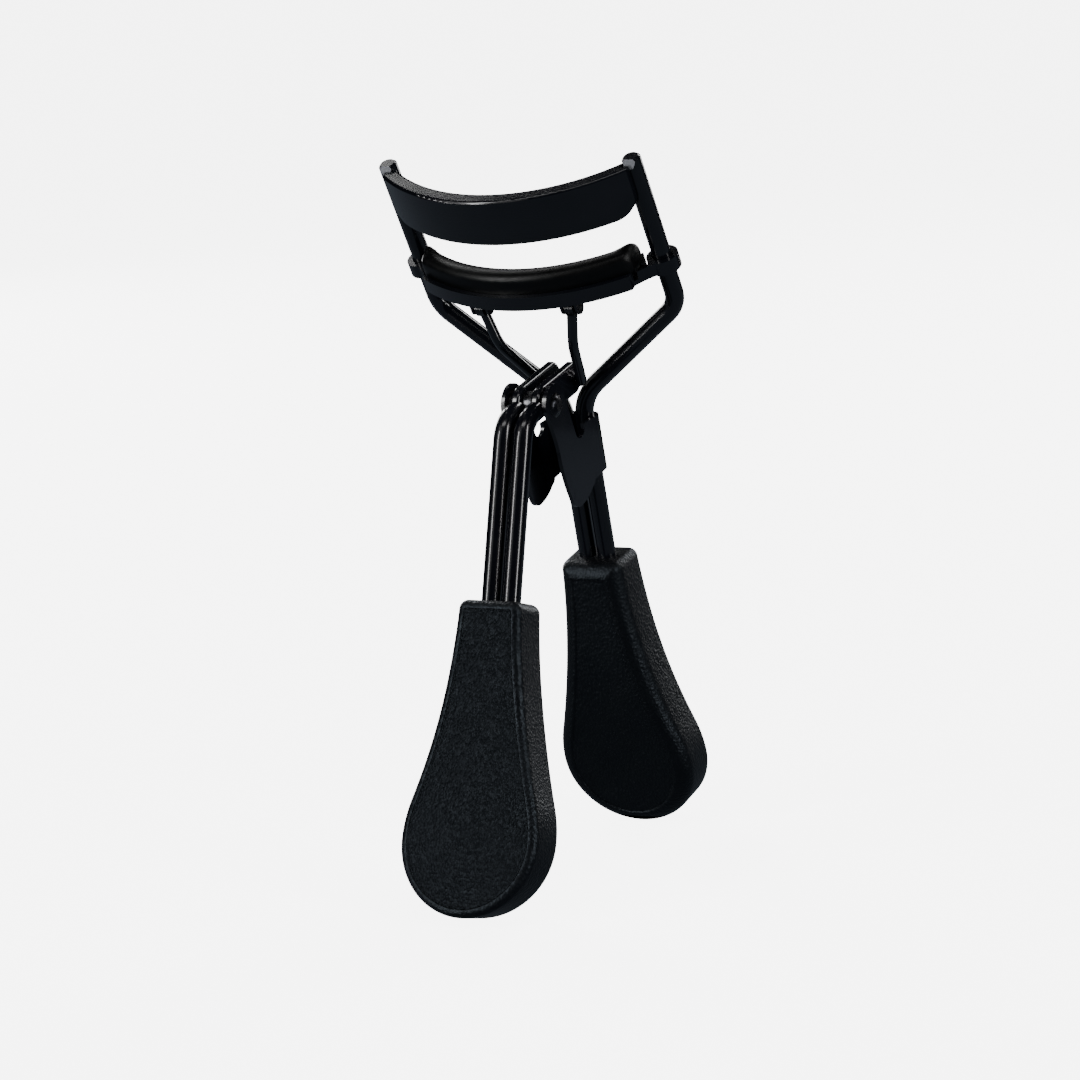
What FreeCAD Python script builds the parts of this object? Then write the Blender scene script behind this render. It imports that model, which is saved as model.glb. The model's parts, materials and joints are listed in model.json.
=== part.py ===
import FreeCAD, Part
import math
import os

import Sketcher
from FreeCAD import Placement, Rotation, Vector

# Eyelash curler with two squeeze handles.
# Row frame: +Z up, X from the left side rod to the right one, -Y the convex side of the jaws.
# Both grip tips stand on z = 0.
# Head frame: origin midway between the side rods at the level of their upper bends,
# local +z along the side rods, the head leaning towards -Y.
# Rear handle frame: origin where the frame rods come together, +z up along the rear handle.
# Front handle frame: origin on the hinge axis, +z parallel to the front handle.

doc = FreeCAD.newDocument("EyelashCurler")
sheet = doc.addObject("Spreadsheet::Sheet", "Sizes")

SIZES = {
    # placing: where the upper bends stand, and how far the head leans
    "bend_setback": 7.84,
    "bend_height": 75.94,
    "head_lean": 29.3,
    # hinge axis and meeting point of the rods, from the bends: in front of the rods and below
    "pivot_front": 13.28,
    "pivot_down": 6.76,
    "join_front": 3.96,
    "join_down": 12.74,
    # angles back from the head's upright
    "rear_turn": 17.4,
    "front_turn": 45.6,
    "crank_turn": 16.4,
    # frame rods
    "rod_spacing": 36.0,
    "rod_diameter": 2.55,
    "rod_pitch": 2.9,
    "rod_top": 23.2,
    "rod_chamfer": 0.3,
    "facet_depth": 0.5,
    "facet_drop": 1.4,
    "shoulder_radius": 4.0,
    "waist_radius": 7.0,
    "rod_in_grip": 14.0,
    # jaws: every arc has its centre on one line behind the rods
    "arc_centre": 18.3,
    "bar_radius": 27.2,
    "bar_sheet": 0.9,
    "bar_low": 15.95,
    "bar_high": 22.6,
    "bar_end": 17.95,
    "bar_corner": 2.4,
    "rim_depth": 2.1,
    "rim_sheet": 1.0,
    "rim_short": 1.0,
    "jaw_radius": 28.2,
    "jaw_inner": 23.9,
    "jaw_sheet": 0.7,
    "jaw_low": 6.1,
    "jaw_high": 8.2,
    "jaw_end": 15.4,
    "eyelet_outer": 2.15,
    "eyelet_bore": 1.36,
    "eyelet_low": 5.9,
    "eyelet_tall": 2.0,
    "strap_tall": 1.8,
    "strap_bend": 14.0,
    "pad_gap": 0.05,
    "pad_top": 10.95,
    "pad_round": 1.15,
    "pad_end": 15.2,
    "hump_length": 2.4,
    "hump_rise": 0.42,
    "hump_width": 1.5,
    # push rods
    "push_diameter": 1.4,
    "push_side": 6.7,
    "push_knee_side": 5.5,
    "push_knee_front": 7.9,
    "push_knee_down": 0.95,
    "push_bend": 6.0,
    "push_foot_side": 3.15,
    "hook_bend": 0.9,
    "hook_clearance": 0.06,
    "lug_back": 7.0,
    "lug_pin_low": 4.6,
    "lug_pin_diameter": 0.6,
    "lug_gap": 0.45,
    "lug_bridge": 0.15,
    "lug_sheet": 0.35,
    "lug_round": 0.95,
    "eye_outer": 1.15,
    "eye_bore": 0.8,
    "eye_thick": 1.2,
    # lever ends of the front handle
    "crank_arm": 8.5,
    "lever_thick": 1.4,
    "lever_above": 2.6,
    "lever_below": 1.7,
    "lever_tip": 0.6,
    "lever_round": 0.45,
    "lever_neck": 1.95,
    # front handle wires
    "wire_diameter": 2.6,
    "wire_pitch": 2.94,
    "wire_forward": 4.88,
    "wire_bend": 4.5,
    # hinge
    "pin_diameter": 2.0,
    "pin_head_diameter": 3.3,
    "pin_head": 0.55,
    "pin_clearance": 0.05,
    "running_gap": 0.06,
    "washer_diameter": 3.6,
    # bracket, seen from the side, from the meeting point of the rods
    "bracket_inside": 5.64,
    "bracket_sheet": 0.55,
    "ear_radius": 2.85,
    "sleeve_top": 2.7,
    "sleeve_low": 10.4,
    "notch_near": 4.0,
    "notch_far": 6.5,
    "notch_depth": 3.0,
    "notch_radius": 1.4,
    "leaf_waist": 11.6,
    "leaf_waist_drop": 3.6,
    "leaf_front": 10.3,
    "leaf_front_drop": 10.6,
    "leaf_tip": 7.6,
    "leaf_tip_drop": 12.45,
    "leaf_back": 4.0,
    "leaf_back_drop": 11.2,
    # grips
    "grip_length": 41.4,
    "grip_start": 23.0,
    "front_grip_start": 26.4,
    "grip_thick": 7.8,
    "grip_top_width": 9.1,
    "grip_bulb": 20.0,
    "grip_corner": 1.3,
    "grip_flare": 104.0,
    "grip_shoulder": 16.8,
    "grip_edge": 2.3,
    "grip_straight": 10.0,
    "grip_bend": 170.0,
    "cover_margin": 2.3,
    "cover_sunk": 1.1,
    "cover_thick": 0.8,
    "cover_gap": 0.03,
}

for row, (alias, value) in enumerate(SIZES.items(), start=1):
    sheet.set(f"A{row}", alias)
    sheet.set(f"B{row}", str(value))
    sheet.setAlias(f"B{row}", alias)
doc.recompute()


def size(alias):
    """The value of one named cell of the sheet."""
    return float(sheet.get(alias))


def value_of(expression):
    """The value of an expression of the sheet's cells."""
    return float(sheet.evalExpression(expression))


def bind(obj, **expressions):
    """Bind properties of an object to expressions of the sheet's cells."""
    for name, expression in expressions.items():
        obj.setExpression(name.replace("__", "."), expression)


# ---------------------------------------------------------------- frames

SIDES = {"left": -1, "right": 1}


def from_bends(front, down):
    """Row frame place of a point given from the upper bends, in front of the rods and below."""
    return (f"Sizes.bend_setback - {front} * cos(Sizes.head_lean) + {down} * sin(Sizes.head_lean)",
            f"Sizes.bend_height - {front} * sin(Sizes.head_lean) - {down} * cos(Sizes.head_lean)")


PIVOT = from_bends("Sizes.pivot_front", "Sizes.pivot_down")
JOIN = from_bends("Sizes.join_front", "Sizes.join_down")
FRAMES = {
    "head": ("Sizes.bend_setback", "Sizes.bend_height", "Sizes.head_lean"),
    "hinge": (*PIVOT, "0"),
    "lever": (*PIVOT, "Sizes.head_lean - Sizes.crank_turn"),
    "rear": (*JOIN, "Sizes.head_lean - Sizes.rear_turn"),
    "front": (*PIVOT, "Sizes.head_lean - Sizes.front_turn"),
}


def stand(obj, frame):
    """Place an object in one of the named frames, bound to the sheet."""
    back, up, turn = FRAMES[frame]
    obj.Placement = Placement(Vector(0, 0, 0), Rotation(Vector(1, 0, 0), 1))
    obj.setExpression("Placement.Base.y", back)
    obj.setExpression("Placement.Base.z", up)
    obj.setExpression("Placement.Rotation.Angle", turn)


def frame_placement(frame):
    """The same frame as a plain placement."""
    back, up, turn = (value_of(part) for part in FRAMES[frame])
    return Placement(Vector(0, back, up), Rotation(Vector(1, 0, 0), turn))


def between(point, source, target):
    """A point of one frame, given in another."""
    world = frame_placement(source).multVec(Vector(*point))
    return frame_placement(target).inverse().multVec(world)


# ---------------------------------------------------------------- building helpers

def plane(body, role):
    """One of a body's own origin planes."""
    return next(item for item in body.Origin.OriginFeatures if item.Role == role)


def new_body(label, frame):
    body = doc.addObject("PartDesign::Body", label)
    body.Label = label
    stand(body, frame)
    return body


def new_sketch(body, name, role, offset=None):
    sketch = body.newObject("Sketcher::SketchObject", name)
    sketch.AttachmentSupport = [(plane(body, role), "")]
    sketch.MapMode = "FlatFace"
    if offset is not None:
        sketch.setExpression("AttachmentOffset.Base.z", offset)
    return sketch


def pin_point(sketch, geometry, end, across, up):
    """Hold an end of a sketch line or arc at two expressions of the sheet."""
    for kind, expression in (("DistanceX", across), ("DistanceY", up)):
        value = value_of(expression)
        index = sketch.addConstraint(
            Sketcher.Constraint(kind, -1, 1, geometry, end, value))
        sketch.setExpression(f"Constraints[{index}]", expression)


def outline(sketch, corners):
    """A closed outline. Each corner is (x, y) or (x, y, radius) in expressions, where the radius
    bends the side that leaves the corner: positive bulges to the right of the way it runs."""
    places = [Vector(*(value_of(c) for c in corner[:2])) for corner in corners]
    for index, corner in enumerate(corners):
        start = places[index]
        finish = places[(index + 1) % len(corners)]
        if len(corner) == 2:
            side = sketch.addGeometry(Part.LineSegment(start, finish))
            first, last = 1, 2
        else:
            radius = value_of(corner[2])
            half = (finish - start) / 2
            depth = math.sqrt(radius ** 2 - half.Length ** 2)
            left = Vector(-half.y, half.x).normalize() * math.copysign(depth, radius)
            centre = start + half + left
            ends = (start, finish) if radius > 0 else (finish, start)
            angles = [math.atan2(end.y - centre.y, end.x - centre.x) for end in ends]
            if angles[1] < angles[0]:
                angles[1] += 2 * math.pi
            circle = Part.Circle(centre, Vector(0, 0, 1), abs(radius))
            side = sketch.addGeometry(Part.ArcOfCircle(circle, *angles))
            first, last = (1, 2) if radius > 0 else (2, 1)
            held = sketch.addConstraint(Sketcher.Constraint("Radius", side, abs(radius)))
            sketch.setExpression(f"Constraints[{held}]", f"abs({corner[2]})")
        pin_point(sketch, side, first, *corner[:2])
        if index:
            sketch.addConstraint(
                Sketcher.Constraint("Coincident", previous[0], previous[1], side, first))
        else:
            opening = (side, first)
        previous = (side, last)
    sketch.addConstraint(Sketcher.Constraint("Coincident", *previous, *opening))


def ring(sketch, across, up, radius):
    """A circle held at a place and a radius of the sheet."""
    centre = Vector(value_of(across), value_of(up))
    value = value_of(radius)
    circle = sketch.addGeometry(Part.Circle(centre, Vector(0, 0, 1), value))
    pin_point(sketch, circle, 3, across, up)
    index = sketch.addConstraint(Sketcher.Constraint("Radius", circle, value))
    sketch.setExpression(f"Constraints[{index}]", radius)


def pad(body, name, sketch, length, midplane=False, reverse=False):
    feature = body.newObject("PartDesign::Pad", name)
    feature.Profile = sketch
    feature.Midplane = midplane
    feature.Reversed = reverse
    feature.setExpression("Length", length)
    body.Tip = feature
    return feature


def pocket(body, name, sketch, length, midplane=False, reverse=False):
    """A cut that is compared with the solid before it, because one that misses says nothing."""
    doc.recompute()
    before = body.Shape.Volume
    feature = body.newObject("PartDesign::Pocket", name)
    feature.Profile = sketch
    feature.Midplane = midplane
    feature.Reversed = reverse
    feature.setExpression("Length", length)
    body.Tip = feature
    doc.recompute()
    if body.Shape.Volume > before - 1e-3:
        raise RuntimeError(f"{body.Label}: {name} cuts nothing")
    return feature


def edges_where(shape, test):
    """The names of the edges whose middle point and length pass a test."""
    names = []
    for index, edge in enumerate(shape.Edges, start=1):
        middle = edge.valueAt((edge.FirstParameter + edge.LastParameter) / 2)
        if test(middle, edge):
            names.append(f"Edge{index}")
    return names


def round_edges(body, name, base, test, radius):
    """Fillet the edges of the base feature that pass a test in the body's own frame."""
    doc.recompute()
    names = edges_where(base.Shape, test)
    if not names:
        raise RuntimeError(f"{body.Label}: {name} finds no edge")
    feature = body.newObject("PartDesign::Fillet", name)
    feature.Base = (base, names)
    feature.setExpression("Radius", radius)
    body.Tip = feature
    doc.recompute()
    return feature


def plain_feature(label, shape, frame):
    """A piece whose bent shape has no sketch, placed in its frame."""
    feature = doc.addObject("Part::Feature", label)
    feature.Label = label
    feature.Shape = shape
    feature.Placement = frame_placement(frame)
    return feature


def bent_wire(points, radii, diameter):
    """A round wire along straight runs joined by tangent arcs, one radius for each inner point."""
    edges = []
    here = points[0]
    for before, corner, after, radius in zip(points, points[1:], points[2:], radii):
        arriving = (corner - before).normalize()
        leaving = (after - corner).normalize()
        turn = arriving.getAngle(leaving)
        reach = radius * math.tan(turn / 2)
        start = corner - arriving * reach
        finish = corner + leaving * reach
        inward = (leaving - arriving).normalize()
        middle = corner + inward * (radius / math.cos(turn / 2) - radius)
        edges += [Part.LineSegment(here, start).toShape(), Part.Arc(start, middle, finish).toShape()]
        here = finish
    edges.append(Part.LineSegment(here, points[-1]).toShape())
    path = Part.Wire(edges)
    section = Part.Wire(Part.Circle(points[0], points[1] - points[0], diameter / 2).toShape())
    return path.makePipeShell([section], True, True)


# ---------------------------------------------------------------- frame rods and upper bar

def frame_rod(side, hand):
    """One side rod: straight through the eyelet, in to the bracket and down into the rear grip."""
    half = size("rod_spacing") / 2
    joined = between((0, 0, 0), "rear", "head")
    below = between((0, 0, -size("grip_start") - size("rod_in_grip")), "rear", "head")
    waist = hand * size("rod_pitch") / 2
    points = [
        Vector(hand * half, 0, size("rod_top")),
        Vector(hand * half, 0, 0),
        Vector(waist, joined.y, joined.z),
        Vector(waist, below.y, below.z),
    ]
    radii = [size("shoulder_radius"), size("waist_radius")]
    rod = bent_wire(points, radii, size("rod_diameter"))
    tip = [e for e in rod.Edges if abs(e.BoundBox.ZMin - size("rod_top")) < 1e-4]
    rod = rod.makeChamfer(size("rod_chamfer"), tip)
    # a small flat in front of the tip, where it was trimmed
    front = -size("rod_diameter") / 2
    trim = Part.Face(Part.makePolygon([
        Vector(0, front, size("rod_top") - size("facet_drop")),
        Vector(0, front + size("facet_depth"), size("rod_top")),
        Vector(0, front, size("rod_top") + size("facet_drop")),
        Vector(0, 2 * front, size("rod_top")),
        Vector(0, front, size("rod_top") - size("facet_drop")),
    ])).extrude(Vector(hand * 2 * half, 0, 0))
    rod = rod.cut(trim)
    return plain_feature(f"frame_rod_{side}", rod, "head")


def arc_band(sketch, inner, outer, end):
    """A band between two arcs of the jaws' centre, symmetric about x = 0, ends cut along y."""
    def far(radius, where):
        return f"(Sizes.arc_centre - sqrt(({radius}) ^ 2 - ({where}) ^ 2))"
    outline(sketch, [
        (f"-({end})", far(outer, end), outer),
        (end, far(outer, end)),
        (end, far(inner, end), f"-({inner})"),
        (f"-({end})", far(inner, end)),
    ])


def upper_bar():
    """The fixed jaw: a curved strip in front of the rods with its top edge turned back."""
    body = new_body("upper_bar", "head")
    wall = new_sketch(body, "bar_wall_plan", "XY_Plane", "Sizes.bar_low")
    arc_band(wall, "Sizes.bar_radius - Sizes.bar_sheet", "Sizes.bar_radius", "Sizes.bar_end")
    pad(body, "bar_wall", wall, "Sizes.bar_high - Sizes.bar_low")
    corners = new_sketch(body, "bar_corners_front", "XZ_Plane")
    for hand in SIDES.values():
        outline(corners, [
            (f"{hand} * (Sizes.bar_end - Sizes.bar_corner)", "Sizes.bar_low - 1"),
            (f"{hand} * (Sizes.bar_end + 1)", "Sizes.bar_low - 1"),
            (f"{hand} * (Sizes.bar_end + 1)", "Sizes.bar_low + Sizes.bar_corner"),
            (f"{hand} * Sizes.bar_end", "Sizes.bar_low + Sizes.bar_corner",
             f"{-hand} * Sizes.bar_corner"),
            (f"{hand} * (Sizes.bar_end - Sizes.bar_corner)", "Sizes.bar_low"),
        ])
    pocket(body, "bar_corners", corners, "2 * Sizes.arc_centre", midplane=True)
    rim = new_sketch(body, "bar_rim_plan", "XY_Plane", "Sizes.bar_high - Sizes.rim_sheet")
    arc_band(rim, "Sizes.bar_radius - Sizes.rim_depth", "Sizes.bar_radius - Sizes.bar_sheet / 2",
             "Sizes.bar_end - Sizes.rim_short")
    turned = pad(body, "bar_rim", rim, "Sizes.rim_sheet")
    high = size("bar_high")
    round_edges(
        body, "bar_rim_round", turned,
        lambda p, e: abs(p.z - high) < 1e-3 and abs(p.x) < 0.5, "Sizes.rim_sheet * 0.4")
    seats = new_sketch(body, "rod_seats", "XY_Plane", "Sizes.bar_low - 1")
    for hand in SIDES.values():
        ring(seats, f"{hand} * Sizes.rod_spacing / 2", "0", "Sizes.rod_diameter / 2")
    pocket(body, "bar_rod_seats", seats, "Sizes.rod_top", reverse=True)
    return body


# ---------------------------------------------------------------- lower jaw

def lower_jaw():
    """The sliding jaw: a curved channel whose wall ends loop round the side rods."""
    body = new_body("lower_jaw", "head")
    plan = new_sketch(body, "jaw_plan", "XY_Plane", "Sizes.jaw_low")
    arc_band(plan, "Sizes.jaw_inner", "Sizes.jaw_radius", "Sizes.jaw_end")
    pad(body, "jaw_channel", plan, "Sizes.jaw_high - Sizes.jaw_low")
    loops = new_sketch(body, "eyelet_plan", "XY_Plane", "Sizes.eyelet_low")
    for hand in SIDES.values():
        ring(loops, f"{hand} * Sizes.rod_spacing / 2", "0", "Sizes.eyelet_outer")
    pad(body, "eyelets", loops, "Sizes.eyelet_tall")
    for side, hand in SIDES.items():
        strap = new_sketch(body, f"strap_{side}_plan", "XY_Plane", "Sizes.jaw_low")
        wall = "(Sizes.arc_centre - sqrt(Sizes.jaw_radius ^ 2 - (Sizes.jaw_end - 1) ^ 2))"
        # the strap runs tangent to the eyelet's outside, 20 degrees in front of the rods
        outside = "Sizes.rod_spacing / 2 + Sizes.eyelet_outer * cos(20)"
        front = "-Sizes.eyelet_outer * sin(20)"
        outline(strap, [
            (f"{hand} * (Sizes.jaw_end - 1)", wall, f"{-hand} * Sizes.strap_bend"),
            (f"{hand} * ({outside})", front),
            (f"{hand} * ({outside} - Sizes.jaw_sheet)", f"{front} / 2",
             f"{hand} * (Sizes.strap_bend - 2)"),
            (f"{hand} * (Sizes.jaw_end - 1)", f"{wall} + Sizes.jaw_sheet"),
        ])
        pad(body, f"strap_{side}", strap, "Sizes.strap_tall")
    groove = new_sketch(body, "groove_plan", "XY_Plane", "Sizes.jaw_high")
    arc_band(groove, "Sizes.jaw_inner + Sizes.jaw_sheet", "Sizes.jaw_radius - Sizes.jaw_sheet",
             "Sizes.jaw_end + 0.5")
    pocket(body, "jaw_groove", groove, "Sizes.jaw_high - Sizes.jaw_low - Sizes.jaw_sheet")
    bores = new_sketch(body, "eyelet_bores", "XY_Plane", "Sizes.jaw_low - 1")
    for hand in SIDES.values():
        ring(bores, f"{hand} * Sizes.rod_spacing / 2", "0", "Sizes.eyelet_bore")
    pocket(body, "rod_bores", bores, "Sizes.jaw_high", reverse=True)
    return body


def curling_pad():
    """The rubber pad in the channel, its crown rounded, with a raised hump at each end."""
    body = new_body("curling_pad", "head")
    floor = "Sizes.jaw_low + Sizes.jaw_sheet + Sizes.pad_gap"
    inner = "Sizes.jaw_inner + Sizes.jaw_sheet + Sizes.pad_gap"
    outer = "Sizes.jaw_radius - Sizes.jaw_sheet - Sizes.pad_gap"
    plan = new_sketch(body, "pad_plan", "XY_Plane", floor)
    arc_band(plan, inner, outer, "Sizes.pad_end")
    block = pad(body, "pad_block", plan, f"Sizes.pad_top - ({floor})")
    top = size("pad_top")
    round_edges(
        body, "pad_crown", block,
        lambda p, e: abs(p.z - top) < 1e-3 and abs(p.x) < 0.5, "Sizes.pad_round")
    for side, hand in SIDES.items():
        hump = new_sketch(body, f"hump_{side}_plan", "XY_Plane", floor)
        near = "Sizes.pad_end - Sizes.hump_length"
        centre = "Sizes.arc_centre"
        bulge = f"({inner} + Sizes.hump_width)"
        outline(hump, [
            (f"{hand} * ({near})", f"{centre} - sqrt({bulge} ^ 2 - ({near}) ^ 2)"),
            (f"{hand} * Sizes.pad_end", f"{centre} - sqrt({bulge} ^ 2 - Sizes.pad_end ^ 2)"),
            (f"{hand} * Sizes.pad_end", f"{centre} - sqrt(({inner}) ^ 2 - Sizes.pad_end ^ 2)"),
            (f"{hand} * ({near})", f"{centre} - sqrt(({inner}) ^ 2 - ({near}) ^ 2)"),
        ])
        raised = pad(body, f"hump_{side}", hump, f"Sizes.pad_top + Sizes.hump_rise - ({floor})")
        high = top + size("hump_rise")
        round_edges(
            body, f"hump_{side}_round", raised,
            lambda p, e: abs(p.z - high) < 1e-3 and p.x * hand > 0, "Sizes.hump_rise * 0.9")
    return body


def jaw_lug(side, hand):
    """A pair of small ears under the channel that hold one push rod's upper pin."""
    body = new_body(f"jaw_lug_{side}", "head")
    sketch = new_sketch(body, f"lug_{side}_side", "YZ_Plane", f"{hand} * Sizes.push_side")
    outline(sketch, [
        ("-Sizes.lug_back - Sizes.lug_round", "Sizes.lug_pin_low"),
        ("-Sizes.lug_back - Sizes.lug_round", "Sizes.jaw_low"),
        ("-Sizes.lug_back + Sizes.lug_round", "Sizes.jaw_low"),
        ("-Sizes.lug_back + Sizes.lug_round", "Sizes.lug_pin_low", "-Sizes.lug_round"),
        ("-Sizes.lug_back", "Sizes.lug_pin_low - Sizes.lug_round", "-Sizes.lug_round"),
    ])
    width = "Sizes.push_diameter + Sizes.lug_gap + 2 * Sizes.lug_sheet"
    pad(body, f"lug_{side}_block", sketch, width, midplane=True)
    slot = new_sketch(body, f"lug_{side}_slot", "YZ_Plane", f"{hand} * Sizes.push_side")
    outline(slot, [
        ("-Sizes.lug_back - 2 * Sizes.lug_round", "Sizes.lug_pin_low - 2 * Sizes.lug_round"),
        ("-Sizes.lug_back + 2 * Sizes.lug_round", "Sizes.lug_pin_low - 2 * Sizes.lug_round"),
        ("-Sizes.lug_back + 2 * Sizes.lug_round", "Sizes.jaw_low - Sizes.lug_bridge"),
        ("-Sizes.lug_back - 2 * Sizes.lug_round", "Sizes.jaw_low - Sizes.lug_bridge"),
    ])
    pocket(body, f"lug_{side}_gap", slot, "Sizes.push_diameter + Sizes.lug_gap", midplane=True)
    bore = new_sketch(body, f"lug_{side}_bore", "YZ_Plane", f"{hand} * Sizes.push_side")
    ring(bore, "-Sizes.lug_back", "Sizes.lug_pin_low", "Sizes.lug_pin_diameter / 2")
    pocket(body, f"lug_{side}_hole", bore, f"2 * ({width})", midplane=True)
    return body


def push_rod_pins():
    """The two pins that hold the push rods' eyes in the jaw lugs."""
    pins = []
    length = "Sizes.push_diameter + Sizes.lug_gap + 2 * Sizes.lug_sheet"
    for side, hand in SIDES.items():
        pin = doc.addObject("Part::Cylinder", f"pin_{side}")
        bind(pin, Radius="Sizes.lug_pin_diameter / 2", Height=length)
        pin.Placement = Placement(Vector(0, 0, 0), Rotation(Vector(0, 1, 0), 90))
        bind(pin, Placement__Base__x=f"{hand} * Sizes.push_side - ({length}) / 2",
             Placement__Base__y="-Sizes.lug_back", Placement__Base__z="Sizes.lug_pin_low")
        pins.append(pin)
    group = doc.addObject("Part::Compound", "push_rod_pins")
    group.Label = "push_rod_pins"
    group.Links = pins
    stand(group, "head")
    return group


# ---------------------------------------------------------------- push rods

def crank_point(side_offset):
    """A point on the crank axis of the lever ends, in the head frame."""
    return between((side_offset, size("crank_arm"), 0), "lever", "head")


def push_rod(side, hand):
    """One push rod: an eye round the jaw pin, a bent wire and a hook through the lever end."""
    top = Vector(hand * size("push_side"), -size("lug_back"), size("lug_pin_low"))
    foot = crank_point(hand * size("push_foot_side"))
    inner = crank_point(hand * (size("wire_pitch") - size("lever_thick")) / 2)
    inner.x -= hand * size("push_diameter") / 6
    knee = Vector(hand * size("push_knee_side"), -size("push_knee_front"),
                  -size("push_knee_down"))
    start = top + (knee - top).normalize() * (size("eye_bore") + size("eye_outer")) / 2
    wire = bent_wire([start, knee, foot, inner], [size("push_bend"), size("hook_bend")],
                     size("push_diameter"))
    along = Vector(1, 0, 0)
    base = top - along * size("eye_thick") / 2
    eye = Part.makeCylinder(size("eye_outer"), size("eye_thick"), base, along)
    bore = Part.makeCylinder(size("eye_bore"), 2 * size("eye_thick"),
                             top - along * size("eye_thick"), along)
    return plain_feature(f"push_rod_{side}", wire.fuse(eye).cut(bore).removeSplitter(), "head")


# ---------------------------------------------------------------- front handle

def lever_plate(offset):
    """The flattened end of one front wire, in the lever frame, from the hinge to the crank."""
    half = size("lever_thick") / 2
    below = size("lever_below")
    above = size("lever_above")
    arm = size("crank_arm")
    slope = math.sqrt(0.5)

    def at(back, up):
        return Vector(offset - half, back, up)

    tip = at(arm + size("lever_tip"), above)
    sides = [
        Part.LineSegment(at(0, -below), at(arm, -below)),
        Part.Arc(at(arm, -below), at(arm + below * slope, -below * slope), at(arm + below, 0)),
        Part.Arc(at(arm + below, 0), at(arm + below * 0.92, above * 0.67), tip),
        Part.LineSegment(tip, at(0, above)),
        Part.Arc(at(0, above), at(-above * slope, above * slope), at(-above, 0)),
        Part.LineSegment(at(-above, 0), at(0, -below)),
    ]
    wire = Part.Wire([side.toShape() for side in sides])
    plate = Part.Face(wire).extrude(Vector(2 * half, 0, 0))
    outer_edges = [edge for edge in plate.Edges if edge.BoundBox.XLength < 1e-6]
    return plate.makeFillet(size("lever_round"), outer_edges)


def handle_rod(side, hand):
    """One front handle wire, flattened at its top into the lever end with two holes."""
    offset = hand * size("wire_pitch") / 2
    forward = size("wire_forward")
    rise = math.radians(size("front_turn") - size("crank_turn"))
    deep = Vector(offset, -forward, -size("front_grip_start") - size("rod_in_grip"))
    bend = Vector(offset, -forward, -forward * math.tan(rise))
    hinge = Vector(offset, 0, 0)
    wire = bent_wire([deep, bend, hinge], [size("wire_bend")], size("wire_diameter"))
    to_front = frame_placement("front").inverse().multiply(frame_placement("lever"))
    plate = lever_plate(offset)
    plate.Placement = to_front
    # the round wire stops where the flat begins
    reach = 2 * size("crank_arm")
    clear = Part.makeBox(reach, reach, reach,
                         Vector(offset - reach / 2, -size("lever_neck"), -reach / 2))
    clear.Placement = to_front
    lever = wire.cut(clear).fuse(plate)
    slot = size("pin_diameter") / 2 + size("pin_clearance")
    hook = size("push_diameter") / 2 + size("hook_clearance")
    for radius, along in ((slot, 0), (hook, size("crank_arm"))):
        hole = Part.makeCylinder(radius, reach, Vector(offset - reach / 2, along, 0),
                                 Vector(1, 0, 0))
        hole.Placement = to_front
        lever = lever.cut(hole)
    return plain_feature(f"handle_rod_{side}", lever, "front")


# ---------------------------------------------------------------- hinge

def hinge_bracket():
    """Folded sheet metal: a sleeve round the frame rods with two leaves out to the hinge pin."""
    body = new_body("hinge_bracket", "rear")
    pivot = between((0, 0, 0), "hinge", "rear")
    ear = size("ear_radius")
    back = "(Sizes.rod_diameter / 2 + Sizes.bracket_sheet)"
    side = new_sketch(body, "bracket_side", "YZ_Plane")
    outline(side, [
        (back, "-Sizes.sleeve_top"),
        ("-Sizes.notch_near", "-Sizes.sleeve_top + 0.4"),
        ("-Sizes.notch_near", "-Sizes.notch_depth", "-Sizes.notch_radius"),
        ("-Sizes.notch_far", "-Sizes.notch_depth"),
        (f"{pivot.y + ear}", f"{pivot.z}", f"{ear}"),
        (f"{pivot.y}", f"{pivot.z + ear}", f"{ear}"),
        (f"{pivot.y - ear}", f"{pivot.z}", "-20"),
        ("-Sizes.leaf_waist", "-Sizes.leaf_waist_drop", "20"),
        ("-Sizes.leaf_front", "-Sizes.leaf_front_drop", "2.2"),
        ("-Sizes.leaf_tip", "-Sizes.leaf_tip_drop", "8"),
        ("-Sizes.leaf_back", "-Sizes.leaf_back_drop", "0.9"),
        ("-Sizes.leaf_back + 0.8", "-Sizes.sleeve_low - 0.2"),
        (back, "-Sizes.sleeve_low"),
    ])
    width = "Sizes.bracket_inside + 2 * Sizes.bracket_sheet"
    block = pad(body, "bracket_block", side, width, midplane=True)
    half = value_of(width) / 2
    rear = value_of(back)
    round_edges(
        body, "bracket_folds", block,
        lambda p, e: abs(abs(p.x) - half) < 1e-3 and abs(p.y - rear) < 1e-3,
        "Sizes.rod_diameter / 2 + Sizes.bracket_sheet - 0.1")
    inside = new_sketch(body, "bracket_inside_plan", "XY_Plane")
    wall = "Sizes.bracket_inside / 2"
    fold = "Sizes.rod_diameter / 2"
    outline(inside, [
        (f"-{wall}", "-2 * Sizes.pivot_front"),
        (wall, "-2 * Sizes.pivot_front"),
        (wall, "0", fold),
        (f"{wall} - {fold}", fold),
        (f"{fold} - {wall}", fold, fold),
        (f"-{wall}", "0"),
    ])
    pocket(body, "bracket_hollow", inside, "4 * Sizes.leaf_tip_drop", midplane=True)
    bore = new_sketch(body, "bracket_bore", "YZ_Plane")
    ring(bore, f"{pivot.y}", f"{pivot.z}", "Sizes.pin_diameter / 2")
    pocket(body, "bracket_pin_hole", bore, f"2 * ({width})", midplane=True)
    return body


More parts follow.
